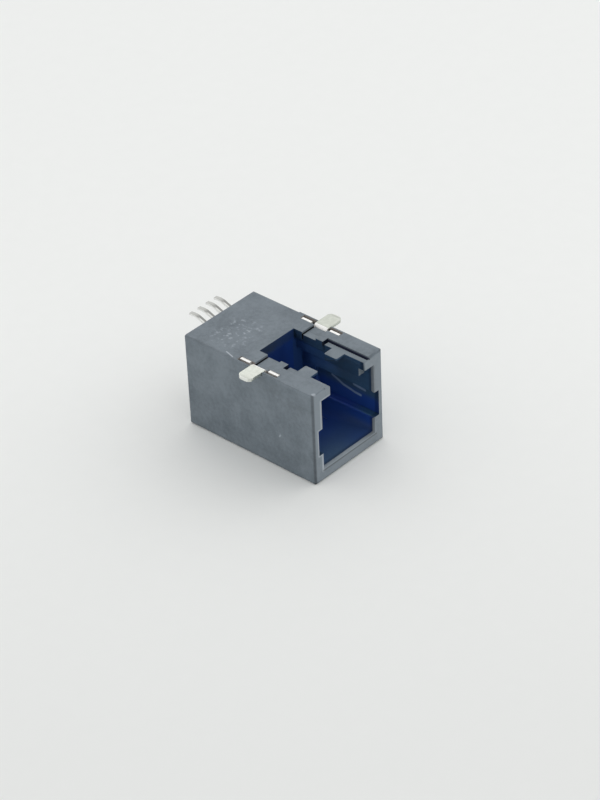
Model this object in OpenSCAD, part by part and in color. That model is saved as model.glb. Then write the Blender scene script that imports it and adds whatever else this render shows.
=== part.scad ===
// Surface-mount modular jack with four contacts.
// It lies on its closed face with the board face up. The mouth faces -Y, the solder tails leave at +Y,
// and the origin is under the middle of the housing, on the closed face.

/* [Housing] */
// Width across the two side walls
housing_w = 10.9; // [10.8:0.05:11.4]
// Length from the mouth face to the rear face
housing_l = 17.8; // [17.4:0.1:19]
// Height from the closed face to the board face
housing_h = 11.25; // [11.1:0.05:12]
// Radius of the upright edges beside the mouth
mouth_edge_r = 0.4; // [0.1:0.05:0.6]
// Radius of the upright edges at the rear
rear_edge_r = 0.1; // [0.05:0.05:0.4]
// Radius of the long board-side edges behind the hold-downs
top_edge_r = 0.3; // [0.15:0.05:0.4]
// Radius of the long board-side edges beside the latch opening
front_top_edge_r = 0.1; // [0.05:0.01:0.14]
// Radius of the closed face's long edges and of its edge at the mouth
base_edge_r = 0.3; // [0.05:0.05:0.4]
// Radius of the edge between the mouth face and the board face
front_edge_r = 0.3; // [0.1:0.05:0.4]
// Thickness of the wall that closes the mouth opposite the latch
floor_t = 1.55; // [1.45:0.05:1.8]
// Thickness of the board-side wall above the latch room
roof_t = 1.25; // [1.15:0.05:1.4]

/* [Plug opening] */
// Width of the plug body that the mouth takes
plug_w = 7.65; // [7.5:0.05:7.75]
// Height of the plug body without its latch
plug_h = 6.6; // [6.5:0.05:6.7]
// Clearance beside the plug, each side
plug_side_clear = 0.1; // [0.06:0.01:0.16]
// Clearance above the plug, under the shoulder ribs
plug_head_clear = 0.5; // [0.4:0.05:0.6]
// Depth of the plug room from the mouth face
plug_room_l = 9.85; // [9.7:0.05:10]
// Radius of the rounded lead-in on the side walls and the floor lip
lead_in_r = 0.3; // [0.1:0.05:0.4]
// Width of the latch room between the shoulder ribs
latch_room_w = 6.1; // [5.9:0.1:6.4]
// Distance from the mouth face to the front ends of the shoulder ribs
rib_setback = 1.2; // [0.8:0.1:1.6]
// Height of the lower edge of the side guide grooves above the floor
groove_low = 1.85; // [1.5:0.05:2.1]
// Width of the side guide grooves
groove_w = 3.1; // [2.6:0.1:3.4]
// Depth of the side guide grooves into the wall
groove_depth = 0.8; // [0.5:0.05:0.9]
// Length of the side guide grooves from the mouth face
groove_l = 8; // [6:0.5:8.5]
// Rounding of the edges between the guide grooves and the walls
groove_edge_r = 0.2; // [0.1:0.05:0.4]

/* [Latch opening] */
// Width of the latch opening in the board face
latch_w = 5.3; // [5.1:0.1:5.6]
// Length of the latch opening from the mouth face
latch_l = 9.73; // [9.5:0.05:9.8]
// Gap between the two latch stops
stop_gap = 2.8; // [2.6:0.1:3.4]
// Distance from the mouth face to the front of the stops
stop_setback = 2.75; // [2.5:0.05:3]
// Length of the stops along the plug's way in
stop_l = 1.7; // [1.4:0.1:1.9]
// Thickness of the stops at their front edge
stop_front_t = 0.25; // [0.2:0.05:0.4]
// Thickness of the stops at the face that holds the latch
stop_rear_t = 0.9; // [0.6:0.05:1]
// Rounding of the free corners of the stops
stop_corner_r = 0.2; // [0.1:0.05:0.4]
// Depth of the ledges below the board face
ledge_drop = 0.28; // [0.1:0.02:0.3]
// Width of the ledges that carry the stops
ledge_w = 0.61; // [0.45:0.01:0.65]
// Length of the ledges from the mouth face
ledge_l = 5.47; // [5.2:0.05:5.6]
// Width of the slits that part the ledges from the board face
slit_w = 0.24; // [0.2:0.02:0.36]
// Depth of the slits below the board face
slit_depth = 1.1; // [0.8:0.05:1.15]
// Wall left between the front ends of the slits and the mouth face
slit_end_wall = 0.2; // [0.15:0.05:0.6]
// Rounding of the ledges at the mouth face
ledge_corner_r = 0.15; // [0.1:0.05:0.3]

/* [Hold-downs] */
// Thickness of the hold-down sheet
sheet_t = 0.35; // [0.25:0.05:0.4]
// Length of a hold-down along its slot in the side wall
sheet_l = 5.2; // [4.8:0.1:5.4]
// Distance from the mouth face to the middle of the hold-downs
hold_setback = 7.8; // [7.6:0.05:8]
// Distance from the outer side of the housing to the inner face of the sheet
sheet_inset = 0.9; // [0.85:0.01:0.95]
// Depth of a hold-down's shoulders below the board face
shoulder_drop = 0.04; // [0.02:0.01:0.2]
// Height of the leg that is pressed into the wall
leg_h = 3.4; // [2.8:0.1:3.8]
// Width of the solder tongue
tongue_w = 1.74; // [1.5:0.02:1.8]
// Reach of the tongue beyond the side wall
tongue_reach = 1.85; // [1.6:0.05:2.4]
// Rounding of the tongue's two outer corners
tip_corner_r = 0.6; // [0.2:0.05:0.7]
// Width of the relief gaps beside the tongue
relief_w = 0.42; // [0.35:0.01:0.5]
// Depth of the relief gaps below the shoulders
relief_depth = 0.7; // [0.6:0.05:0.9]
// Inner radius of the tongue's bend
tongue_bend_r = 0.15; // [0.1:0.01:0.2]
// Height of the barbs at the ends of the leg
barb_h = 0.12; // [0.06:0.02:0.16]
// Depth of the solder pockets round the hold-downs
pocket_depth = 0.6; // [0.5:0.05:0.7]
// Thickness of the outer strip beside the solder pockets
pocket_strip = 0.22; // [0.16:0.02:0.25]
// Depth of the tongue channels in the board face
channel_depth = 0.27; // [0.2:0.01:0.3]
// Width of the tongue channels
channel_w = 1.9; // [1.84:0.02:2]
// Distance from the middle of a hold-down to the rear edge of its tongue channel
channel_back = 0.79; // [0.7:0.01:0.85]
// Width of the undercut groove at the rear of each tongue channel
undercut_w = 0.16; // [0.12:0.01:0.22]
// Depth of that groove below the board face
undercut_depth = 0.9; // [0.6:0.05:1]

/* [Contact block] */
// Wall of the housing under the contact block
base_t = 0.6; // [0.5:0.05:0.7]
// Wall of the housing above the contact block
cover_t = 0.55; // [0.5:0.05:0.58]
// Wall of the housing beside the contact block
side_t = 1.25; // [1.2:0.01:1.3]
// Clearance round the contact block
block_clear = 0.03; // [0.02:0.01:0.06]
// Depth of the block's rear face inside the housing
block_setback = 0.3; // [0.2:0.05:0.5]
// Width of the contact tray under the plug
tray_w = 5.2; // [4.8:0.1:5.6]
// Distance from the front edge of the tray to the hairpin bends
tray_lead = 0.4; // [0.35:0.05:0.8]
// Height of the comb slots that guide the free ends of the springs
comb_h = 3.6; // [3.2:0.1:4]
// Depth of the comb slots
comb_depth = 1.3; // [1.2:0.05:1.5]
// Width of the cored pockets at the rear of the block
core_w = 1; // [0.6:0.1:1.1]
// Depth of the cored pockets
core_depth = 5; // [3:0.5:5.5]
// Wall of the block outside the cored pockets
core_wall = 0.5; // [0.4:0.05:0.6]

/* [Contacts] */
// Spacing of the springs in the mouth
spring_pitch = 1.02; // [1:0.01:1.04]
// Spacing of the solder tails
tail_pitch = 1.27; // [1.25:0.01:1.29]
// Width of the springs
spring_w = 0.46; // [0.4:0.02:0.5]
// Width of the solder tails
tail_w = 0.5; // [0.4:0.02:0.56]
// Thickness of the contact strip
strip_t = 0.25; // [0.2:0.01:0.28]
// Inner radius of the bends in the contact strip
bend_r = 0.2; // [0.15:0.01:0.22]
// Inner radius of the wide bend at the heel of a solder foot
heel_r = 1.6; // [0.8:0.1:2]
// Clearance beside the springs in their slots
slot_clear = 0.06; // [0.04:0.01:0.1]
// Reach of the solder tails beyond the rear face
tail_reach = 2.45; // [2.2:0.05:2.8]
// Length of the solder foot
foot_l = 0.9; // [0.8:0.05:1.1]
// Height of the toe of the foot above the board face
toe_lift = 0.05; // [0:0.01:0.1]
// Height of the heel of the foot above the board face
heel_lift = 0.15; // [0.05:0.01:0.2]
// Depth of the tails below the board face where they leave the housing
tail_drop = 0.42; // [0.36:0.01:0.46]
// Depth of the rear grooves that carry the uprights of the contacts
rear_groove_depth = 0.85; // [0.75:0.05:1]
// Distance from the mouth face to the hairpin bends of the springs
hairpin_setback = 5.95; // [5:0.05:6]
// Height of the hairpin bends between the middles of their two runs
hairpin_h = 0.75; // [0.7:0.01:0.95]
// Distance from the mouth face to the knees of the springs
knee_setback = 7.9; // [7.7:0.05:8.1]
// Height of the knees above the top of the hairpin bends
knee_rise = 0.28; // [0.2:0.01:0.5]
// Length of the free ends behind the knees, along the plug's way in
free_l = 2.5; // [2.2:0.1:2.7]
// Slope of the free ends
free_angle = 23.5; // [20:0.5:26]

/* [Hidden] */
$fn = 48;
past = 1;
contact_count = 4;
front = -housing_l / 2;
rear = housing_l / 2;
side = housing_w / 2;
top = housing_h;

// Plug room, latch room and guide grooves
plug_x = plug_w / 2 + plug_side_clear;
plug_end = front + plug_room_l;
shoulder_z = floor_t + plug_h + plug_head_clear;
ceiling_z = top - roof_t;
rib_front = front + rib_setback;
groove_z = floor_t + groove_low;
groove_top = groove_z + groove_w;
groove_end = front + groove_l;

// Latch opening, ledges and slits
latch_x = latch_w / 2;
latch_end = front + latch_l;
ledge_z = top - ledge_drop;
ledge_x = latch_x + ledge_w;
ledge_end = front + ledge_l;
slit_x = ledge_x + slit_w;
slit_end = ledge_end + slit_w;
stop_x = stop_gap / 2;
stop_root = 0.2;

// Hold-downs and the pockets round them
hold_y = front + hold_setback;
sheet_in = side - sheet_inset;
sheet_out = sheet_in + sheet_t;
shoulder_top = top - shoulder_drop;
leg_bottom = shoulder_top - leg_h;
slot_l = sheet_l + 2 * barb_h;
barb_w = leg_h / 7;
barb_levels = [leg_h / 5, leg_h / 2];
tongue_clear = 0.08;
channel_rear = hold_y + channel_back;
edge_run = 0.9;
top_step = hold_y + sheet_l / 2 + edge_run;

// Contact block
block_x = side - side_t;
block_top = top - cover_t;
block_rear = rear - block_setback;
hairpin_y = front + hairpin_setback;
tray_front = hairpin_y - tray_lead;
tray_wall = 0.2;
core_low = 1.6;
core_high = 1.4;

// Contact strip, by its middle line: y is along the jack and z is up
bend_mid = bend_r + strip_t / 2;
heel_mid = heel_r + strip_t / 2;
bend_steps = 8;
run_rise = 0.15;
run_z = base_t + run_rise + strip_t / 2;
upper_z = run_z + hairpin_h;
board_z = top - strip_t / 2;
neck_z = board_z - tail_drop;
neck_out = 0.05;
neck_y = rear + neck_out;
tail_y = rear + tail_reach;
heel_y = tail_y - foot_l;
upright_y = block_rear - rear_groove_depth + strip_t / 2;
knee = [front + knee_setback, upper_z + knee_rise];
spring_tip = knee + free_l * [1, tan(free_angle)];
jog_gap = 0.5;
jog_margin = 1.2;
jog_lap = 0.2;
jog_front = plug_end + comb_depth + jog_gap;
jog_rear = upright_y - jog_margin;
tail_gap = 0.06;
rear_path = [
    [tail_y, board_z + toe_lift],
    [heel_y, board_z + heel_lift],
    [neck_y, neck_z],
    [upright_y, neck_z],
    [upright_y, run_z],
    [jog_rear, run_z]
];
spring_path = [
    [jog_front, run_z],
    [hairpin_y, run_z],
    [hairpin_y, upper_z],
    knee,
    spring_tip
];

function spring_x(i) = (i - (contact_count + 1) / 2) * spring_pitch;
function tail_x(i) = (i - (contact_count + 1) / 2) * tail_pitch;
function unit(v) = v / norm(v);
function side_of(u, v) = u[0] * v[1] - u[1] * v[0];
function turn(u, v) = atan2(side_of(u, v), u * v);
function heading(u) = atan2(u[1], u[0]);

// Box between two opposite corners
module box(low, high) {
    translate(low)
        cube(high - low);
}

// Both side copies of a shape drawn on the +X side
module both_sides() {
    children();
    mirror([1, 0, 0])
        children();
}

// Prism along X whose outline is drawn as y and z
module along_x(x0, x1) {
    translate([x0, 0, 0])
        rotate([90, 0, 90])
            linear_extrude(x1 - x0)
                children();
}

// Prism along Y whose outline is drawn as x and z
module along_y(y0, y1) {
    translate([0, y1, 0])
        rotate([90, 0, 0])
            linear_extrude(y1 - y0)
                children();
}

// Square of side r outside a quarter circle, with its corner at the origin
module corner_waste(r) {
    difference() {
        translate([-past, -past])
            square(past + r);
        translate([r, r])
            circle(r);
        translate([r, -past])
            square(past + r);
        translate([-past, r])
            square(past + r);
    }
}

// Rectangle about x = 0 from low to high, with one radius for each pair of corners
module rounded_outline(half, low, high, low_r, high_r) {
    difference() {
        translate([-half, low])
            square([2 * half, high - low]);
        for (s = [0, 1])
            mirror([s, 0]) {
                translate([-half, low])
                    corner_waste(low_r);
                translate([-half, high])
                    mirror([0, 1])
                        corner_waste(high_r);
            }
    }
}

// Side view of the housing, drawn as y and z, with its two edges at the mouth rounded
module side_outline() {
    difference() {
        translate([front, 0])
            square([housing_l, top]);
        translate([front, 0])
            corner_waste(base_edge_r);
        translate([front, top])
            mirror([0, 1])
                corner_waste(front_edge_r);
    }
}

// Outer block of the housing with its rounded edges, the board-side ones larger behind the hold-downs
module housing_body() {
    difference() {
        intersection() {
            linear_extrude(top)
                rounded_outline(side, front, rear, mouth_edge_r, rear_edge_r);
            along_x(-side, side)
                side_outline();
            along_y(front, rear)
                rounded_outline(side, 0, top, base_edge_r, front_top_edge_r);
        }
        both_sides()
            along_y(top_step, rear + past)
                translate([side, top])
                    rotate(180)
                        corner_waste(top_edge_r);
    }
}

// Room for the plug body, the latch above it and the guide grooves beside it
module plug_room() {
    box([-plug_x, front - past, floor_t], [plug_x, plug_end, shoulder_z]);
    box([-plug_x, front - past, floor_t], [plug_x, rib_front, ceiling_z]);
    box([-latch_room_w / 2, front - past, floor_t], [latch_room_w / 2, plug_end, ceiling_z]);
    both_sides() {
        box([0, front - past, groove_z], [plug_x + groove_depth, groove_end, groove_top]);
        along_y(front - past, groove_end) {
            translate([plug_x, groove_top])
                corner_waste(groove_edge_r);
            translate([plug_x, groove_z])
                mirror([0, 1])
                    corner_waste(groove_edge_r);
        }
    }
}

// Lead-in funnel that rounds the front edges of the two side walls and the floor lip
module mouth_lead_in() {
    half = plug_x + lead_in_r;
    low = floor_t - lead_in_r;
    intersection() {
        linear_extrude(ceiling_z)
            difference() {
                translate([-half, front - past])
                    square([2 * half, past + lead_in_r]);
                for (x = [-half, half])
                    translate([x, front + lead_in_r])
                        circle(lead_in_r);
            }
        along_x(-side, side)
            difference() {
                translate([front - past, low])
                    square([past + lead_in_r, ceiling_z - low]);
                translate([front + lead_in_r, low])
                    circle(lead_in_r);
            }
    }
}

// Latch opening through the board face, with the lowered ledges and the slits outside them
module latch_opening() {
    box([-latch_x, front - past, floor_t + past], [latch_x, latch_end, top + past]);
    both_sides() {
        box([0, front - past, ledge_z], [slit_x, ledge_end, top + past]);
        box([ledge_x, front + slit_end_wall, top - slit_depth], [slit_x, slit_end, top + past]);
        box([0, ledge_end, top - slit_depth], [slit_x, slit_end, top + past]);
        translate([latch_x, front, ceiling_z - past])
            linear_extrude(roof_t + 2 * past)
                corner_waste(ledge_corner_r);
    }
}

// Stop that holds the plug's latch, with a ramp under it and two rounded corners
module latch_stop() {
    stop_front = front + stop_setback;
    stop_rear = stop_front + stop_l;
    difference() {
        along_x(stop_x, latch_x + stop_root)
            polygon([
                [stop_front, ledge_z],
                [stop_rear, ledge_z],
                [stop_rear, ledge_z - stop_rear_t],
                [stop_front, ledge_z - stop_front_t]
            ]);
        translate([stop_x, 0, ceiling_z - past])
            linear_extrude(roof_t + 2 * past) {
                translate([0, stop_front])
                    corner_waste(stop_corner_r);
                translate([0, stop_rear])
                    mirror([0, 1])
                        corner_waste(stop_corner_r);
            }
    }
}

// Slot, solder pocket and tongue channel of one hold-down
module hold_down_room() {
    slot_rear = hold_y + slot_l / 2;
    slot_front = hold_y - slot_l / 2;
    tongue_side = tongue_w / 2 + tongue_clear;
    box([sheet_in, slot_front, leg_bottom], [sheet_out, slot_rear, top + past]);
    box([sheet_in, slot_front, top - pocket_depth], [side - pocket_strip, slot_rear, top + past]);
    box(
        [sheet_in, hold_y - tongue_side, top - sheet_t - tongue_clear],
        [side + past, hold_y + tongue_side, top + past]
    );
    box([0, channel_rear - channel_w, top - channel_depth], [sheet_out, channel_rear, top + past]);
    box([0, channel_rear - undercut_w, top - undercut_depth], [sheet_out, channel_rear, top + past]);
}

// Room for the contact block and its tray, with a thinner cover above the tails
module block_room() {
    box([-block_x, plug_end, base_t], [block_x, rear + past, block_top]);
    box(
        [-tray_w / 2 - block_clear, tray_front - block_clear, base_t],
        [tray_w / 2 + block_clear, plug_end + past, floor_t + past]
    );
    tails_x = tail_x(contact_count) + tail_w / 2 + slot_clear;
    box(
        [-tails_x, upright_y - strip_t / 2 - tail_gap, base_t],
        [tails_x, rear + past, top - tail_drop + tail_gap]
    );
}

module housing() {
    color([0.24, 0.25, 0.27]) {
        difference() {
            housing_body();
            plug_room();
            mouth_lead_in();
            latch_opening();
            both_sides()
                hold_down_room();
            block_room();
        }
        both_sides()
            latch_stop();
    }
}

// One edge of a strip bent along a path: hand is 1 for the left edge and -1 for the right edge,
// and the first bend has its own radius
function strip_edge(path, hand, first_mid) =
    let (last = len(path) - 1)
    let (legs = [for (i = [0 : last - 1]) unit(path[i + 1] - path[i])])
    let (lefts = [for (u = legs) [-u[1], u[0]]])
    concat(
        [path[0] + hand * strip_t / 2 * lefts[0]],
        [
            for (i = [1 : last - 1])
                let (bend = turn(legs[i - 1], legs[i]))
                let (way = sign(bend))
                let (mid = i == 1 ? first_mid : bend_mid)
                let (trim = mid * tan(abs(bend) / 2))
                let (middle = path[i] - trim * legs[i - 1] + way * mid * lefts[i - 1])
                let (from = heading(-way * lefts[i - 1]))
                let (r = mid - way * hand * strip_t / 2)
                for (k = [0 : bend_steps])
                    let (a = from + bend * k / bend_steps)
                    middle + r * [cos(a), sin(a)]
        ],
        [path[last] + hand * strip_t / 2 * lefts[last - 1]]
    );

function reversed(list) = [for (i = [len(list) - 1 : -1 : 0]) list[i]];

// Strip bent along a path in the y and z plane, x being its middle
module formed_strip(path, first_mid, x, width) {
    left = strip_edge(path, 1, first_mid);
    right = strip_edge(path, -1, first_mid);
    along_x(x - width / 2, x + width / 2)
        polygon(concat(left, reversed(right)));
}

// Level piece of strip that spreads the springs out to the spacing of the tails
module jog(i) {
    spring_side = spring_w / 2;
    tail_side = tail_w / 2;
    translate([0, 0, run_z - strip_t / 2])
        linear_extrude(strip_t)
            polygon([
                [spring_x(i) - spring_side, jog_front - jog_lap],
                [spring_x(i) + spring_side, jog_front - jog_lap],
                [spring_x(i) + spring_side, jog_front],
                [tail_x(i) + tail_side, jog_rear],
                [tail_x(i) + tail_side, jog_rear + jog_lap],
                [tail_x(i) - tail_side, jog_rear + jog_lap],
                [tail_x(i) - tail_side, jog_rear],
                [spring_x(i) - spring_side, jog_front]
            ]);
}

module contact_strip(i) {
    formed_strip(rear_path, heel_mid, tail_x(i), tail_w);
    jog(i);
    formed_strip(spring_path, bend_mid, spring_x(i), spring_w);
}

module contact(i) {
    color([0.85, 0.83, 0.76])
        contact_strip(i);
}

// Open slots of the contact block round one contact
module contact_slots(i) {
    slot_x = spring_w / 2 + slot_clear;
    run_top = run_z + strip_t / 2;
    run_low = run_z - strip_t / 2;
    comb_end = plug_end + comb_depth;
    box(
        [spring_x(i) - slot_x, tray_front + tray_wall, run_top],
        [spring_x(i) + slot_x, comb_end, floor_t + comb_h]
    );
    box(
        [spring_x(i) - slot_x, tray_front + tray_wall, run_low],
        [spring_x(i) + slot_x, hairpin_y + bend_mid, floor_t + past]
    );
    box(
        [tail_x(i) - tail_w / 2 - slot_clear, upright_y - strip_t / 2, run_z + bend_mid],
        [tail_x(i) + tail_w / 2 + slot_clear, rear + past, top + past]
    );
}

module contact_block() {
    body_x = block_x - block_clear;
    core_out = body_x - core_wall;
    color([0.16, 0.17, 0.19])
        difference() {
            union() {
                box([-body_x, plug_end, base_t], [body_x, block_rear, block_top - block_clear]);
                box([-tray_w / 2, tray_front, base_t], [tray_w / 2, plug_end + past, floor_t]);
            }
            for (i = [1 : contact_count]) {
                contact_slots(i);
                contact_strip(i);
            }
            both_sides()
                box(
                    [core_out - core_w, block_rear - core_depth, base_t + core_low],
                    [core_out, block_rear + past, block_top - core_high]
                );
        }
}

// Barb on the rear end of a hold-down's leg, pointing along +Y
module barb(level) {
    along_x(sheet_in, sheet_out)
        polygon([
            [hold_y + sheet_l / 2, leg_bottom + level],
            [hold_y + sheet_l / 2, leg_bottom + level + barb_w],
            [hold_y + sheet_l / 2 + barb_h, leg_bottom + level + barb_w]
        ]);
}

// Hold-down of the +X side: a leg with barbs and two shoulders, and a tongue bent outward
module hold_down() {
    bend_z = top - sheet_t - tongue_bend_r;
    bend_x = sheet_out + tongue_bend_r;
    relief_low = shoulder_top - relief_depth;
    tongue_side = tongue_w / 2;
    shoulder_in = tongue_side + relief_w;
    tip_x = side + tongue_reach;
    box([sheet_in, hold_y - sheet_l / 2, leg_bottom], [sheet_out, hold_y + sheet_l / 2, relief_low]);
    box([sheet_in, hold_y - sheet_l / 2, relief_low], [sheet_out, hold_y - shoulder_in, shoulder_top]);
    box([sheet_in, hold_y + shoulder_in, relief_low], [sheet_out, hold_y + sheet_l / 2, shoulder_top]);
    box([sheet_in, hold_y - tongue_side, relief_low], [sheet_out, hold_y + tongue_side, bend_z]);
    translate([bend_x, hold_y + tongue_side, bend_z])
        rotate([90, 0, 0])
            rotate([0, 0, 90])
                rotate_extrude(angle = 90)
                    translate([tongue_bend_r, 0])
                        square([sheet_t, tongue_w]);
    translate([0, hold_y, top - sheet_t])
        linear_extrude(sheet_t)
            difference() {
                translate([bend_x, -tongue_side])
                    square([tip_x - bend_x, tongue_w]);
                for (s = [0, 1])
                    mirror([0, s])
                        translate([tip_x, -tongue_side])
                            mirror([1, 0])
                                corner_waste(tip_corner_r);
            }
    for (level = barb_levels) {
        barb(level);
        translate([0, 2 * hold_y, 0])
            mirror([0, 1, 0])
                barb(level);
    }
}

module hold_down_right() {
    color([0.9, 0.9, 0.88])
        hold_down();
}

module hold_down_left() {
    color([0.9, 0.9, 0.88])
        mirror([1, 0, 0])
            hold_down();
}

housing();
contact_block();
contact(1);  // contact_1
contact(2);  // contact_2
contact(3);  // contact_3
contact(4);  // contact_4
hold_down_left();
hold_down_right();
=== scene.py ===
"""Looks of a surface-mount modular jack that lies on its closed face, with its board face up.

Lengths are written in millimetres, in the frame of the solids: the mouth faces -Y, the tails leave at +Y.
"""

import math

import bmesh
import bpy
from mathutils import Matrix, Vector


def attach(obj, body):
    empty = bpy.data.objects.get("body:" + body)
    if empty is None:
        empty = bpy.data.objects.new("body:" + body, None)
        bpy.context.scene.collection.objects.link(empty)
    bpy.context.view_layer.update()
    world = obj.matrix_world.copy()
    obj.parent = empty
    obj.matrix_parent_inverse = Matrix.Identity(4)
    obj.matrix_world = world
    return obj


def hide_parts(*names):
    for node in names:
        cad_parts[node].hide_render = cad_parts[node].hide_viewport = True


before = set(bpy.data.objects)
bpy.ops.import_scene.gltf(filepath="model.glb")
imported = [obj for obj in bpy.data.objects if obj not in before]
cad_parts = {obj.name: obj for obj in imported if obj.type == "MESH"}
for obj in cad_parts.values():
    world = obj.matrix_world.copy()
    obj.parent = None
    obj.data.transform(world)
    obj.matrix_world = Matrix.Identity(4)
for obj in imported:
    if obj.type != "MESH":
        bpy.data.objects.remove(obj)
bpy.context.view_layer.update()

MM = 0.001

# Outside of the housing
FRONT_Y = -8.9
SIDE_X = 5.45
TOP_Z = 11.25

# Plug room, with the guide grooves in its side walls and the rounded lead-in round its mouth
FLOOR_Z = 1.55
CEILING_Z = 10
PLUG_X = 3.925
PLUG_END_Y = 0.95
GROOVE_X = 4.725
GROOVE_Z = 3.4
GROOVE_TOP_Z = 6.5
RIB_Y = -7.7
LEAD_IN = 0.3
LIP_X = PLUG_X + LEAD_IN
LIP_Z = FLOOR_Z - LEAD_IN

# Latch opening, with the sprung ledges beside it and the slits outside them
LATCH_END_Y = 0.83
LEDGE_X = 3.26
LEDGE_Z = 10.97
SLIT_X = 3.5
SLIT_Z = 10.15
SLIT_END_Y = -3.19

# Hold-downs, with the slot for the sheet and the rear edge of the channel for the tongue
HOLD_Y = -1.1
SHEET_X = 4.55
SHEET_Z = 7.81
SLOT_HALF_L = 2.72
CHANNEL_Y = -0.31

# How far a face may lie from a place that is named above and still belong to it
NEAR = 0.1
# Depth to which the outside finish follows the rounded outer edges
SKIN = 0.15

# Places of the housing's finishes in its list
OUTSIDE, ROOM, GAP, POCKET, EDGE = range(5)

# Marks on the housing, and a line of painted shade at the lower lip, by the two ends of each
SCRATCH = ((-4.89, 3.4, TOP_Z), (-5.18, 2.29, TOP_Z))
CHIP = ((-SIDE_X, -4.22, 4.33), (-SIDE_X, -4.07, 4.12))
KNOCK = ((-5.12, -8.68, 11.2), (-5, -8.78, 11.2))
SMUDGE = ((-SIDE_X, -3.4, 9.4), (-SIDE_X, -6.6, 8.6))
LOWER_LIP = ((-LIP_X, FRONT_Y, LIP_Z), (LIP_X, FRONT_Y, LIP_Z))

# Middle of the scuffed place on the board face
SCUFF_X = -1.6
SCUFF_Y = 4.9

# Inner outline of the left wall on the front face, by x and z
LEFT_RIM = [
    (-2.8, CEILING_Z),
    (-LIP_X, CEILING_Z),
    (-LIP_X, GROOVE_TOP_Z),
    (-GROOVE_X, GROOVE_TOP_Z),
    (-GROOVE_X, GROOVE_Z),
    (-LIP_X, GROOVE_Z),
    (-LIP_X, LIP_Z),
]

# Painted reflections of two springs on the outer wall of the right guide groove, by y and z
SPRING_REFLECTIONS = [
    [(-2.5, 5.71), (-3.3, 5.42), (-4, 5.1), (-4.9, 4.95), (-5.6, 4.8), (-6.4, 4.75)],
    [(-5.5, 5.77), (-6.2, 5.7), (-7, 5.64)],
]

# Edges that are rounded, and how the faces are shaded
MERGE_GAP = 0.0005
FLAT_ANGLE = math.radians(1)
SHARP_ANGLE = math.radians(55)
SHADE_ANGLE = math.radians(40)
SHORTEST_EDGE = 0.15
HOUSING_EDGE_R = 0.05
BLOCK_EDGE_R = 0.04
SHEET_EDGE_R = 0.03

# Contact strips
CONTACT_COUNT = 4
SPRING_PITCH = 1.02
TAIL_PITCH = 1.27
SPRING_W = 0.46
TAIL_W = 0.5
STRIP_T = 0.25
STRIP_EDGE_R = 0.06
BEND_R = 0.325
HEEL_R = 1.725
NECK_Z = 10.705
UPRIGHT_Y = 7.875
RUN_Z = 0.875
HAIRPIN_Y = -2.95
HAIRPIN_TOP_Z = 1.625
KNEE_Y = -1
KNEE_Z = 1.905
FREE_L = 2.5
FREE_RISE = FREE_L * math.tan(math.radians(23.5))
# Middle line of a strip from the tail to the free end of the spring: y, z, bend radius, share of spring
CONTACT_PATH = [
    (11.35, 11.175, 0, 0),
    (10.45, 11.275, HEEL_R, 0),
    (8.95, NECK_Z, BEND_R, 0),
    (UPRIGHT_Y, NECK_Z, BEND_R, 0),
    (UPRIGHT_Y, RUN_Z, BEND_R, 0),
    (6.675, RUN_Z, 0, 0),
    (2.75, RUN_Z, 0, 1),
    (HAIRPIN_Y, RUN_Z, BEND_R, 1),
    (HAIRPIN_Y, HAIRPIN_TOP_Z, BEND_R, 1),
    (KNEE_Y, KNEE_Z, BEND_R, 1),
    (KNEE_Y + FREE_L, KNEE_Z + FREE_RISE, 0, 1),
]

# Direction across the table, away from the camera
AWAY_X = 0.73
AWAY_Y = 0.68


class Wire:
    """An output socket in a node tree. Maths on it is written as Python expressions."""

    def __init__(self, nodes, socket):
        self.nodes = nodes
        self.socket = socket

    def maths(self, operation, *values):
        return self.nodes.node("ShaderNodeMath", {"operation": operation}, dict(enumerate(values)))

    def __add__(self, other):
        return self.maths("ADD", self, other)

    def __sub__(self, other):
        return self.maths("SUBTRACT", self, other)

    def __rsub__(self, other):
        return self.maths("SUBTRACT", other, self)

    def __mul__(self, other):
        return self.maths("MULTIPLY", self, other)

    def __truediv__(self, other):
        return self.maths("DIVIDE", self, other)

    def __mod__(self, other):
        return self.maths("FLOORED_MODULO", self, other)

    __radd__ = __add__
    __rmul__ = __mul__

    def size(self):
        return self.maths("ABSOLUTE", self)

    def over(self, other):
        return self.maths("MAXIMUM", self, other)

    def above(self, limit):
        return self.maths("GREATER_THAN", self, limit)

    def along(self, axis):
        """One part of a vector: 0 for x, 1 for y, 2 for z."""
        return self.nodes.node("ShaderNodeSeparateXYZ", inputs={0: self}, out=axis)

    def step(self, low, high):
        """0 below low and 1 above high, with a smooth change between them."""
        return self.nodes.node(
            "ShaderNodeMapRange",
            {"interpolation_type": "SMOOTHSTEP"},
            {"Value": self, "From Min": low, "From Max": high},
        )

    def fall(self, low, high):
        """1 below low and 0 above high, with a smooth change between them."""
        return 1 - self.step(low, high)

    def near(self, middle, inner, outer):
        """1 up to inner from a middle and 0 from outer on."""
        return (self - middle).size().fall(inner, outer)


class Nodes:
    """A node tree, with its nodes added one at a time."""

    def __init__(self, tree):
        self.tree = tree

    def node(self, kind, settings=None, inputs=None, out=0):
        """Adds a node, sets its settings and then its sockets, and gives one of its outputs, if any."""
        made = self.tree.nodes.new(kind)
        for name, value in (settings or {}).items():
            setattr(made, name, value)
        for name, value in (inputs or {}).items():
            if isinstance(value, Wire):
                self.tree.links.new(value.socket, made.inputs[name])
            else:
                made.inputs[name].default_value = value
        return Wire(self, made.outputs[out]) if made.outputs else None


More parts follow.
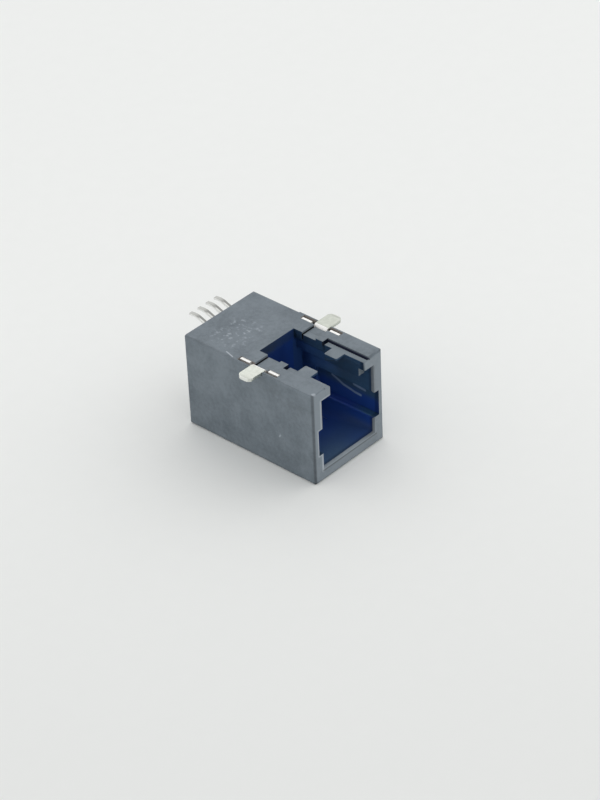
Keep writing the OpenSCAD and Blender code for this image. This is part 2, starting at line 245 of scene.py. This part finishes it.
class Finish(Nodes):
    """A material or a world. The place on a material is given in millimetres."""

    def __init__(self, name, kind="Material"):
        self.kind = kind
        self.owner = (bpy.data.worlds if kind == "World" else bpy.data.materials).new(name)
        self.owner.use_nodes = True
        super().__init__(self.owner.node_tree)
        self.tree.nodes.clear()
        place = self.node("ShaderNodeTexCoord", out="Generated" if kind == "World" else "Object")
        unit = 1 if kind == "World" else MM
        self.place = self.vector("SCALE", {0: place, "Scale": 1 / unit})
        self.x, self.y, self.z = (self.place.along(axis) for axis in range(3))

    def vector(self, operation, inputs, out=0):
        return self.node("ShaderNodeVectorMath", {"operation": operation}, inputs, out)

    def noise(self, scale, detail, stretch=(1, 1, 1), offset=(0, 0, 0)):
        """Noise about 0.5 over the place."""
        place = self.node(
            "ShaderNodeMapping", inputs={"Vector": self.place, "Location": offset, "Scale": stretch}
        )
        return self.node("ShaderNodeTexNoise", inputs={"Vector": place, "Scale": scale, "Detail": detail})

    def mix(self, share, low, high):
        """Colour between low and high."""
        return self.node("ShaderNodeMix", {"data_type": "RGBA"}, {"Factor": share, 6: low, 7: high}, out=2)

    def stroke(self, ends, width):
        """1 on a thin line between two ends, fading to 0 at a width from it."""
        start, end = (Vector(point) for point in ends)
        line = end - start
        way = self.vector("SUBTRACT", {0: self.place, 1: start})
        share = self.vector("DOT_PRODUCT", {0: way, 1: line / line.length_squared}, out=1)
        held = self.node("ShaderNodeClamp", inputs={"Value": share})
        closest = self.vector("SCALE", {0: line, "Scale": held})
        gap = self.vector("DISTANCE", {0: way, 1: closest}, out=1)
        return gap.fall(0.3 * width, width)

    def trail(self, points, width):
        """1 on a thin line through some points."""
        mark = 0
        for ends in zip(points, points[1:]):
            mark = self.stroke(ends, width).over(mark)
        return mark

    def bump(self, height, depth, strength):
        return self.node(
            "ShaderNodeBump", inputs={"Height": height, "Distance": depth * MM, "Strength": strength}
        )

    def surface(self, **sockets):
        inputs = {name.replace("_", " "): value for name, value in sockets.items()}
        return self.node("ShaderNodeBsdfPrincipled", inputs=inputs)

    def done(self, surface):
        self.node("ShaderNodeOutput" + self.kind, inputs={"Surface": surface})
        return self.owner


def srgb(red, green, blue):
    """Linear colour of a colour that is written as 8-bit numbers."""
    shares = [value / 255 for value in (red, green, blue)]
    return (*(s / 12.92 if s <= 0.04045 else ((s + 0.055) / 1.055) ** 2.4 for s in shares), 1)


def slate_plastic(name, edge_highlight=0.0):
    """Spark-eroded dark plastic of the housing, with handling marks on the board face and one side, painted
    light on its front and upper parts, painted highlights on some edges, and painted shade in its corners,
    creases and recesses.
    """
    f = Finish(name)
    across = f.x.size()
    cloud = f.noise(0.4, 3)
    mottle = f.noise(2.2, 4, offset=(4, 0, 7))
    grain = f.noise(11, 2)
    front = f.y.fall(FRONT_Y + 0.02, FRONT_Y + 0.06)
    right_ledge = f.z.near(LEDGE_Z, 0.05, 0.15) * across.fall(SLIT_X - 0.1, SLIT_X - 0.05) * f.x.step(0, 1)
    left_of_mouth = f.y.fall(-6, 2) * f.x.fall(-2, 1) * f.z.step(10.8, 11)
    # Painted light: lighter higher up the sides, on the front face, on the top of the right ledge and on the
    # front left of the top face.
    tone = f.mix(
        (cloud - 0.5) * 1.6
        + (mottle + grain - 1) * 1.1
        + f.z.step(1, 9) * 0.3
        + left_of_mouth * 0.25
        + (front + right_ledge) * 0.5
        + 0.4,
        srgb(93, 103, 111),
        srgb(118, 128, 136),
    )

    scuffs = f.noise(2.4, 5, (1, 0.7, 1), (3, 1, 0)).step(0.52, 0.7)
    scuffs = scuffs * f.z.step(TOP_Z - 0.15, TOP_Z - 0.05)
    scuffs = scuffs * f.x.near(SCUFF_X, 1.2, 3.6) * f.y.near(SCUFF_Y, 1, 3)
    # Lighter for real wear at the scuffs, scratch, chip and knock, and with painted highlights on the inner
    # edges of the left wall at the mouth, on the front face, and all over in the edge finish.
    rim = f.trail([(x, FRONT_Y, z) for x, z in LEFT_RIM], 0.22)
    knock = f.stroke(KNOCK, 0.25)
    light = scuffs * 0.5 + f.stroke(SCRATCH, 0.1) * 0.7 + f.stroke(CHIP, 0.15) * 0.4
    light = light + rim * 0.45 + knock * 0.5 + front * 0.1 + edge_highlight
    tone = f.mix(light, tone, srgb(186, 194, 202))

    # Painted shade on the rounded upright corners beside the front face.
    corner_x = SIDE_X - 0.12
    corner_y = FRONT_Y + 0.12
    front_corner = ((across - corner_x).size() + (f.y - corner_y).size()).fall(0.06, 0.34)
    smudge = f.stroke(SMUDGE, 1.4) * f.noise(1.3, 4).step(0.35, 0.65)
    # Painted shade on the lead-in of the right wall of the mouth.
    lead_in = (1 - front) * f.y.fall(FRONT_Y + LEAD_IN, FRONT_Y + LEAD_IN + 0.04)
    lead_in = lead_in * f.x.step(1, 4) * f.x.fall(4.3, 4.4)
    lead_in = lead_in * f.z.step(LIP_Z - 0.05, LIP_Z) * f.z.fall(CEILING_Z - 0.05, CEILING_Z)
    # Painted shade in the undercut at the rear edge of each tongue channel.
    undercut = f.z.step(10.2, 10.3) * f.z.fall(11, 11.08)
    undercut = undercut * f.y.near(CHANNEL_Y, 0.1, 0.2) * across.fall(4.6, 4.8)
    # Painted shadow where the sides stand on the table.
    base = f.z.fall(0.12, 0.4)
    # Darker with painted shade on the front corners, in the undercut, in the crease along the lower lip, on
    # the right lead-in and along the foot of the sides, and with real dirt in the smudge.
    dark = front_corner * (1 - knock) * 0.4 + undercut + f.stroke(LOWER_LIP, 0.14) * 0.45
    dark = dark + lead_in * 0.3 + smudge * 0.14 + base * 0.25
    return f.done(
        f.surface(
            Base_Color=f.mix(dark, tone, srgb(20, 19, 22)),
            Roughness=f.noise(3, 2) * 0.14 + 0.46,
            Specular_IOR_Level=0.35,
            Normal=f.bump(grain * 0.6 + mottle * 0.4, 0.03, 0.35),
        )
    )


def room_surface(f):
    """Polished plastic of the plug room, painted blue-black as the shade that fills it.

    It is painted lighter and greyer, as painted light, high on the side walls, along the top of the rear
    wall and on the floor by the mouth, and lighter blue under the ledges. It is painted darker, as painted
    shade, along the top edges of the walls, at the mouth's edge, at the ends of the slits and in the left of
    the rear. The shelf of each guide groove is painted in dim teal by the mouth and dim blue further in, and
    the right guide groove has painted reflections of two springs.
    """
    across = f.x.size()
    sides = across.step(2.5, 2.6)
    back = f.y.step(0.4, 0.9)
    upper = f.z.step(4.6, 5.6)
    low = f.z.fall(1.6, 3)
    crest = f.z.step(9.9, 10.4) * f.y.fall(LATCH_END_Y - 0.08, LATCH_END_Y + 0.07)
    high = upper * sides.over(crest) * (1 - f.y.step(-3.5, 0.5) * (1 - crest) * 0.6)
    below_ledge = f.z.step(6, 7.5) * f.z.fall(9.6, 10) * f.y.step(-5, -2.5) * f.y.fall(-0.8, 0.4) * sides
    by_mouth = f.y.fall(FRONT_Y + 0.5, FRONT_Y + 4.2) * f.x.fall(-1.5, 3) * (1 - upper)
    brow = (f.z + f.noise(1.6, 3) * 1.2).step(10.3, 11.2) * back * (1 - f.x.step(-2, 2.5) * 0.6)
    left_rear = back * f.x.fall(0.5, 2.5) * (1 - brow)
    shelf = f.z.near(GROOVE_Z, 0.03, 0.1) * across.step(PLUG_X - 0.075, PLUG_X - 0.025)

    # The blue-black is painted shade; the greyer and lighter tones mixed over it are painted light.
    deep = f.mix(f.noise(0.7, 3), srgb(26, 57, 124), srgb(33, 66, 138))
    steel = f.mix(f.noise(3, 3), srgb(43, 71, 100), srgb(55, 82, 110))
    pale = f.mix(f.noise(4, 4), srgb(58, 84, 110), srgb(78, 102, 124))
    tone = f.mix(high.over(low * f.y.fall(-6.5, -3) * 0.45), deep, steel)
    tone = f.mix(below_ledge * 0.5, tone, srgb(76, 118, 176))
    tone = f.mix(by_mouth * 0.75, tone, pale)
    tone = f.mix(left_rear * 0.6, tone, srgb(14, 34, 82))
    tone = f.mix(brow * 0.85, tone, srgb(44, 56, 69))
    tone = f.mix(shelf * 0.8, tone, f.mix(f.y.step(-8, -5), srgb(34, 72, 98), srgb(10, 46, 124)))
    # Painted reflections of two springs on the outer wall of the right guide groove.
    for mark in SPRING_REFLECTIONS:
        tone = f.mix(f.trail([(GROOVE_X, y, z) for y, z in mark], 0.22), tone, srgb(112, 132, 162))

    mouth_edge = f.y.fall(FRONT_Y + 0.4, FRONT_Y + 0.75)
    slit_end = f.y.near(SLIT_END_Y, 0.05, 0.12) * f.z.step(10.5, 10.9) * sides
    dark = mouth_edge * 0.5 + slit_end * 0.9 + crest * (f.y.step(-5, 0) * 0.3 + 0.2)
    return f.surface(
        Base_Color=f.mix(dark, tone, srgb(14, 22, 40)),
        Roughness=f.noise(2, 2) * 0.06 + 0.28 + shelf * 0.4 + low * 0.25,
        Specular_IOR_Level=0.25,
    )


def polished_room():
    """Finish of the plug room and the latch opening, painted in the shade that fills them."""
    f = Finish("polished_room")
    return f.done(room_surface(f))


def shaded_recess():
    """Painted shade in the slits and gaps of the board face, with painted light at the rims and by the latch
    opening.
    """
    f = Finish("shaded_recess")
    cloud = f.noise(1.5, 3)
    dark = f.mix(cloud, srgb(30, 34, 56), srgb(44, 48, 72))
    tone = f.mix(f.x.size().fall(2.75, 3.1), dark, srgb(50, 69, 92))
    rim = f.z.step(TOP_Z - 0.2, TOP_Z - 0.12)
    return f.done(
        f.surface(
            Base_Color=f.mix(rim * 0.9, tone, srgb(104, 113, 121)),
            Roughness=cloud * 0.2 + 0.5,
            Specular_IOR_Level=0.2,
        )
    )


def pocket_wall():
    """Plastic of the solder pockets, painted brown as the warm light off the tin beside it, and darker
    towards their floor as painted shade.
    """
    f = Finish("pocket_wall")
    cloud = f.noise(1.5, 3)
    height = f.z.step(10.55, 11.1)
    return f.done(
        f.surface(
            Base_Color=f.mix(height * 0.8 + cloud * 0.2, srgb(40, 37, 37), srgb(146, 140, 135)),
            Roughness=cloud * 0.2 + 0.5,
            Specular_IOR_Level=0.3,
        )
    )


def block_plastic():
    """Dark plastic of the contact block, with the plug room's polish and painted shade where it closes the
    plug room.
    """
    f = Finish("block_plastic")
    grain = f.noise(8, 2)
    outside = f.surface(
        Base_Color=f.mix(f.noise(0.6, 3) * 0.7 + grain * 0.3, srgb(70, 76, 84), srgb(92, 98, 106)),
        Roughness=f.noise(3, 2) * 0.15 + 0.45,
        Normal=f.bump(grain, 0.02, 0.25),
    )
    shaders = {0: f.y.step(2.5, 4), 1: room_surface(f), 2: outside}
    return f.done(f.node("ShaderNodeMixShader", inputs=shaders))


def tinned_sheet():
    """Matte tin of the hold-downs, with painted light that makes the left one lighter than the right, and
    painted highlights at the tips and on the sheared edges in the solder pockets.
    """
    f = Finish("tinned_sheet")
    across = f.x.size()
    brushed = f.noise(4, 3, (1, 5, 1))
    # Lighter at random, and lighter on the left hold-down than on the right as painted light.
    brighter_share = (f.noise(2.4, 3) - 0.5) * 1.6 + (brushed - 0.5) * 1.2 + 0.75 - f.x.step(-6, 6) * 0.6
    tin = f.mix(brighter_share, srgb(198, 202, 193), srgb(226, 229, 221))
    # Painted highlight at the tips.
    tin = f.mix(across.step(7.16, 7.24) * 0.7, tin, srgb(248, 249, 245))
    # Painted highlight on the sheared edges in the solder pockets.
    sheared = across.fall(4.9, 4.96)
    return f.done(
        f.surface(
            Base_Color=f.mix(sheared, tin, srgb(252, 252, 250)),
            Metallic=1.0,
            Roughness=brushed * 0.2 + 0.36 + sheared * 0.2,
            Normal=f.bump(brushed, 0.01, 0.2),
        )
    )


def plated_strip():
    """Rolled faces of the contact strip: plated springs, and tails that are darker on the rise than at the
    tinned feet, with a painted highlight along one edge of each rise.
    """
    f = Finish("plated_strip")
    brushed = f.noise(5, 3, (1, 1, 6))
    spring = f.mix(brushed, srgb(206, 208, 208), srgb(226, 228, 228))
    foot = f.mix(brushed, srgb(172, 173, 170), srgb(194, 195, 191))
    rise = f.mix(f.noise(6, 3), srgb(124, 125, 123), srgb(154, 155, 152))
    # Painted highlight along the left edge of each tail's rise.
    brighter_share = (f.x % TAIL_PITCH).fall(0.5, 0.62) * f.y.fall(9.7, 10.3)
    rise = f.mix(brighter_share * 0.9, rise, srgb(240, 241, 238))
    tail = f.mix(f.y.step(9.95, 10.5), rise, foot)
    return f.done(
        f.surface(
            Base_Color=f.mix(f.y.step(4, 4.6), spring, tail),
            Metallic=1.0,
            Roughness=brushed * 0.2 + 0.24,
            Normal=f.bump(brushed, 0.008, 0.2),
        )
    )


def sheared_side():
    """Sheared sides of the contact strip, painted brighter than its rolled faces as a painted highlight."""
    f = Finish("sheared_side")
    streaks = f.noise(6, 3, (1, 1, 4))
    return f.done(
        f.surface(
            Base_Color=f.mix(streaks, srgb(236, 237, 234), srgb(250, 250, 248)),
            Metallic=0.5,
            Roughness=streaks * 0.2 + 0.4,
        )
    )


def plain_mesh(owner, modifier):
    """The mesh that a modifier makes of an object, with the modifier taken off again."""
    made = bpy.data.meshes.new_from_object(owner.evaluated_get(bpy.context.evaluated_depsgraph_get()))
    owner.modifiers.remove(modifier)
    return made


def shown(name, mesh, slot, *nodes):
    """Shows a mesh as a piece that stands for some of the solids, with its flat faces shaded flat."""
    mesh.polygons.foreach_set("use_smooth", [True] * len(mesh.polygons))
    mesh.set_sharp_from_angle(angle=SHADE_ANGLE)
    piece = bpy.data.objects.new(name, mesh)
    bpy.context.scene.collection.objects.link(piece)
    even = piece.modifiers.new("even_normals", "WEIGHTED_NORMAL")
    even.keep_sharp = True
    piece.data = plain_mesh(piece, even)
    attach(piece, "root")
    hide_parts(*nodes)


def softened(node, edge_r, slot, finishes, pick=lambda middle, facing: 0, edge_highlight=0, crisp=()):
    """Shows a copy of a solid with its sharp edges rounded, which stands for it.

    pick gives each face's finish, and the new edges beside the first finish take the finish that is given
    after it, which paints a highlight on them. Edges between two faces of a crisp finish stay sharp.
    """
    work = bmesh.new()
    work.from_mesh(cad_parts[node].data)
    bmesh.ops.remove_doubles(work, verts=work.verts, dist=MERGE_GAP * MM)
    bmesh.ops.dissolve_limit(work, angle_limit=FLAT_ANGLE, verts=work.verts, edges=work.edges)
    for face in work.faces:
        face.material_index = pick(face.calc_center_bounds() / MM, face.normal)
    sharp = [
        edge
        for edge in work.edges
        if edge.is_manifold
        and edge.calc_face_angle(0) > SHARP_ANGLE
        and edge.calc_length() > SHORTEST_EDGE * MM
        and not all(face.material_index in crisp for face in edge.link_faces)
    ]
    made = bmesh.ops.bevel(
        work,
        geom=sharp,
        offset=edge_r * MM,
        segments=3,
        profile=0.5,
        affect="EDGES",
        clamp_overlap=True,
        material=-1,
    )
    # New edges beside the outside finish take the edge finish, with its painted highlight.
    for face in made["faces"]:
        face.material_index = face.material_index or edge_highlight
    bmesh.ops.triangulate(work, faces=[face for face in work.faces if len(face.verts) > 4])
    mesh = bpy.data.meshes.new(node + "_softened")
    work.to_mesh(mesh)
    work.free()
    for finish in finishes:
        mesh.materials.append(finish)
    shown(node + "_softened", mesh, slot, node)


def housing_finish(middle, facing):
    """Finish of a housing face, by the middle of the face and its direction."""
    x, y, z = abs(middle.x), middle.y, middle.z
    depth = y - FRONT_Y
    to_front = facing.y < -0.7
    outward = facing.x * middle.x > 0.7 * x
    in_mouth = x < LIP_X + NEAR and LIP_Z - NEAR < z < CEILING_Z + NEAR
    # The lead-in round the mouth takes the edge finish, with its painted highlight.
    if depth < LEAD_IN + NEAR and in_mouth and facing.y > -0.98:
        return EDGE
    if z > TOP_Z - NEAR or (facing.z > 0.7 and z > LEDGE_Z - NEAR) or x > SIDE_X - SKIN:
        return OUTSIDE
    if x > SHEET_X - NEAR and abs(y - HOLD_Y) < SLOT_HALF_L + NEAR and z > SHEET_Z - NEAR:
        return POCKET
    if x > LEDGE_X - NEAR and depth > NEAR and y < CHANNEL_Y + NEAR and z > SLIT_Z - NEAR:
        return OUTSIDE if outward or (to_front and y > CHANNEL_Y - NEAR) else GAP
    if x < GROOVE_X + NEAR and depth > LEAD_IN and y < PLUG_END_Y + NEAR and z > FLOOR_Z - NEAR:
        return OUTSIDE if to_front and y < RIB_Y + NEAR else ROOM
    return OUTSIDE


class Tree(Nodes):
    """A geometry tree with named sizes."""

    def __init__(self, name, sizes):
        super().__init__(bpy.data.node_groups.new(name, "GeometryNodeTree"))
        self.tree.is_modifier = True
        sockets = self.tree.interface
        sockets.new_socket("Geometry", in_out="INPUT", socket_type="NodeSocketGeometry")
        sockets.new_socket("Geometry", in_out="OUTPUT", socket_type="NodeSocketGeometry")
        self.values = {}
        for label, (kind, value) in sizes.items():
            socket = sockets.new_socket(label, in_out="INPUT", socket_type="NodeSocket" + kind)
            self.values[socket.identifier] = value
        self.inputs = self.tree.nodes.new("NodeGroupInput")

    def size(self, label):
        return Wire(self, self.inputs.outputs[label])

    def stored(self, name):
        """A number that is stored on each point under a name."""
        return self.node("GeometryNodeInputNamedAttribute", {"data_type": "FLOAT"}, {"Name": name})

    def grown(self, mesh, result):
        """The plain mesh that the tree makes of a mesh, where result is the geometry that it ends in."""
        self.node("NodeGroupOutput", inputs={0: result})
        seed = bpy.data.objects.new(self.tree.name, mesh)
        bpy.context.scene.collection.objects.link(seed)
        modifier = seed.modifiers.new(self.tree.name, "NODES")
        modifier.node_group = self.tree
        for identifier, value in self.values.items():
            modifier[identifier] = value
        made = plain_mesh(seed, modifier)
        bpy.data.objects.remove(seed)
        return made


def contact_line():
    """Middle line of a contact, with the bend radius and the share of spring stored on its points."""
    line = bpy.data.meshes.new("contact_line")
    points = [(0, y * MM, z * MM) for y, z, _, _ in CONTACT_PATH]
    line.from_pydata(points, [(i, i + 1) for i in range(len(points) - 1)], [])
    stored = {
        "bend_radius": [radius * MM for _, _, radius, _ in CONTACT_PATH],
        "spring_share": [share for _, _, _, share in CONTACT_PATH],
    }
    for name, values in stored.items():
        line.attributes.new(name, "FLOAT", "POINT").data.foreach_set("value", values)
    return line


def contact_row(rolled, sheared):
    """The four contacts: one bent strip, repeated at the spacing of the springs and of the tails."""
    tree = Tree(
        "contact_row",
        {
            "Count": ("Int", CONTACT_COUNT),
            "Spring pitch": ("Float", SPRING_PITCH * MM),
            "Tail pitch": ("Float", TAIL_PITCH * MM),
            "Spring width": ("Float", SPRING_W * MM),
            "Tail width": ("Float", TAIL_W * MM),
            "Strip thickness": ("Float", STRIP_T * MM),
            "Edge radius": ("Float", STRIP_EDGE_R * MM),
            "Rolled finish": ("Material", rolled),
            "Sheared finish": ("Material", sheared),
        },
    )

    # One strip, as wide as a spring all along
    line = tree.node("GeometryNodeMeshToCurve", inputs={"Mesh": tree.size("Geometry")})
    line = tree.node(
        "GeometryNodeFilletCurve",
        {"mode": "POLY"},
        {"Curve": line, "Radius": tree.stored("bend_radius"), "Limit Radius": True, "Count": 12},
    )
    line = tree.node("GeometryNodeSetCurveNormal", {"mode": "FREE"}, {"Curve": line, "Normal": (1, 0, 0)})
    section = tree.node(
        "GeometryNodeCurvePrimitiveQuadrilateral",
        inputs={"Width": tree.size("Spring width"), "Height": tree.size("Strip thickness")},
    )
    section = tree.node(
        "GeometryNodeFilletCurve",
        {"mode": "POLY"},
        {"Curve": section, "Radius": tree.size("Edge radius"), "Count": 5},
    )
    strip = tree.node(
        "GeometryNodeCurveToMesh", inputs={"Curve": line, "Profile Curve": section, "Fill Caps": True}
    )

    # A copy for each contact, with its place in the row counted from the middle
    spots = tree.node("GeometryNodeMeshLine", inputs={"Count": tree.size("Count"), "Offset": (0, 0, 0)})
    place = tree.node("GeometryNodeInputIndex") - (tree.size("Count") - 1) / 2
    spots = tree.node(
        "GeometryNodeStoreNamedAttribute",
        {"data_type": "FLOAT", "domain": "POINT"},
        {"Geometry": spots, "Name": "place_in_row", "Value": place},
    )
    row = tree.node("GeometryNodeInstanceOnPoints", inputs={"Points": spots, "Instance": strip})
    row = tree.node("GeometryNodeRealizeInstances", inputs={"Geometry": row})

    # Each copy moved along the row and widened, by how far it has changed from tail to spring
    def from_tail_to_spring(measure):
        ends = {"A": tree.size("Tail " + measure), "B": tree.size("Spring " + measure)}
        share = tree.stored("spring_share")
        return tree.node("ShaderNodeMix", {"data_type": "FLOAT"}, {"Factor": share, **ends})

    spread = from_tail_to_spring("width") / tree.size("Spring width")
    spot = tree.node("GeometryNodeInputPosition")
    x = spot.along(0) * spread + tree.stored("place_in_row") * from_tail_to_spring("pitch")
    moved = tree.node("ShaderNodeCombineXYZ", inputs={0: x, 1: spot.along(1), 2: spot.along(2)})
    row = tree.node("GeometryNodeSetPosition", inputs={"Geometry": row, "Position": moved})

    row = tree.node(
        "GeometryNodeSetMaterial", inputs={"Geometry": row, "Material": tree.size("Rolled finish")}
    )
    sideways = tree.node("GeometryNodeInputNormal").along(0).size().above(0.7)
    row = tree.node(
        "GeometryNodeSetMaterial",
        inputs={"Geometry": row, "Selection": sideways, "Material": tree.size("Sheared finish")},
    )
    contacts = [f"contact_{number + 1}" for number in range(CONTACT_COUNT)]
    shown("contact_row", tree.grown(contact_line(), row), "contact_strip", *contacts)


def table_grey(level):
    """Pale grey of the table, with a trace of green."""
    return (level * 0.985, level, level * 0.985, 1)


def pale_table():
    """Wide pale table top under the jack, with painted shade that makes it a little darker towards the
    camera.
    """
    f = Finish("pale_table")
    nearer = (f.x * AWAY_X + f.y * AWAY_Y).fall(-70, 30)
    tone = f.mix(f.noise(0.5, 3), table_grey(0.9), table_grey(0.92))
    tone = f.mix(nearer * 0.5, tone, table_grey(0.74))
    reach = 3000 * MM
    corners = [(x * reach, y * reach, 0) for x, y in ((-1, -1), (1, -1), (1, 1), (-1, 1))]
    mesh = bpy.data.meshes.new("table_top")
    mesh.from_pydata(corners, [], [(0, 1, 2, 3)])
    mesh.materials.append(f.done(f.surface(Base_Color=tone, Roughness=0.9)))
    table = bpy.data.objects.new("table_top", mesh)
    bpy.context.scene.collection.objects.link(table)


def pale_room():
    """Light of a pale room, brighter behind the jack than on the camera's side and dimmer overhead."""
    f = Finish("pale_room", "World")
    behind = (f.x * AWAY_X + f.y * AWAY_Y).step(-0.9, 0.9)
    level = 0.82 + behind * 0.34 - f.z.step(0.6, 0.85) * 0.2
    light = f.node("ShaderNodeBackground", inputs={"Color": (1, 1, 1, 1), "Strength": level})
    bpy.context.scene.world = f.done(light)


def side_lamp():
    """One wide weak lamp beside the jack, turned towards it."""
    place = Vector((450, -250, 400)) * MM
    lamp = bpy.data.lights.new("lamp_beside", "AREA")
    lamp.size = 600 * MM
    lamp.energy = 0.4
    body = bpy.data.objects.new("lamp_beside", lamp)
    body.location = place
    body.rotation_euler = (-place).to_track_quat("-Z", "Y").to_euler()
    bpy.context.scene.collection.objects.link(body)


def photo_camera():
    """Camera at the photograph's place. Its lens is given for a picture 36 mm high."""
    eye = Vector((-171.384, -162.851, 170.993)) * MM
    aim = Vector((4.984, 2.586, 0)) * MM
    roll = math.radians(-2.632)
    data = bpy.data.cameras.new("photo_camera")
    data.sensor_fit = "VERTICAL"
    data.sensor_height = 36
    data.lens = 123.8643
    data.clip_start = 10 * MM
    data.clip_end = 20000 * MM
    camera = bpy.data.objects.new("photo_camera", data)
    turn = (aim - eye).to_track_quat("-Z", "Y").to_matrix() @ Matrix.Rotation(roll, 3, "Z")
    camera.matrix_world = Matrix.Translation(eye) @ turn.to_4x4()
    bpy.context.scene.collection.objects.link(camera)
    bpy.context.scene.camera = camera


housing_finishes = [
    slate_plastic("slate_plastic"),
    polished_room(),
    shaded_recess(),
    pocket_wall(),
    # The edge finish: the same plastic lightened all over as a painted highlight on rounded edges.
    slate_plastic("rubbed_edge", 0.2),
]
softened(
    "housing",
    HOUSING_EDGE_R,
    "housing_plastic",
    housing_finishes,
    housing_finish,
    edge_highlight=EDGE,
    crisp=(ROOM, GAP),
)
softened("contact_block", BLOCK_EDGE_R, "block_plastic", [block_plastic()])
tin = tinned_sheet()
for hand in ("left", "right"):
    softened("hold_down_" + hand, SHEET_EDGE_R, "tinned_sheet", [tin])
contact_row(plated_strip(), sheared_side())
pale_table()
pale_room()
side_lamp()
photo_camera()

bpy.context.scene.view_settings.view_transform = "Standard"
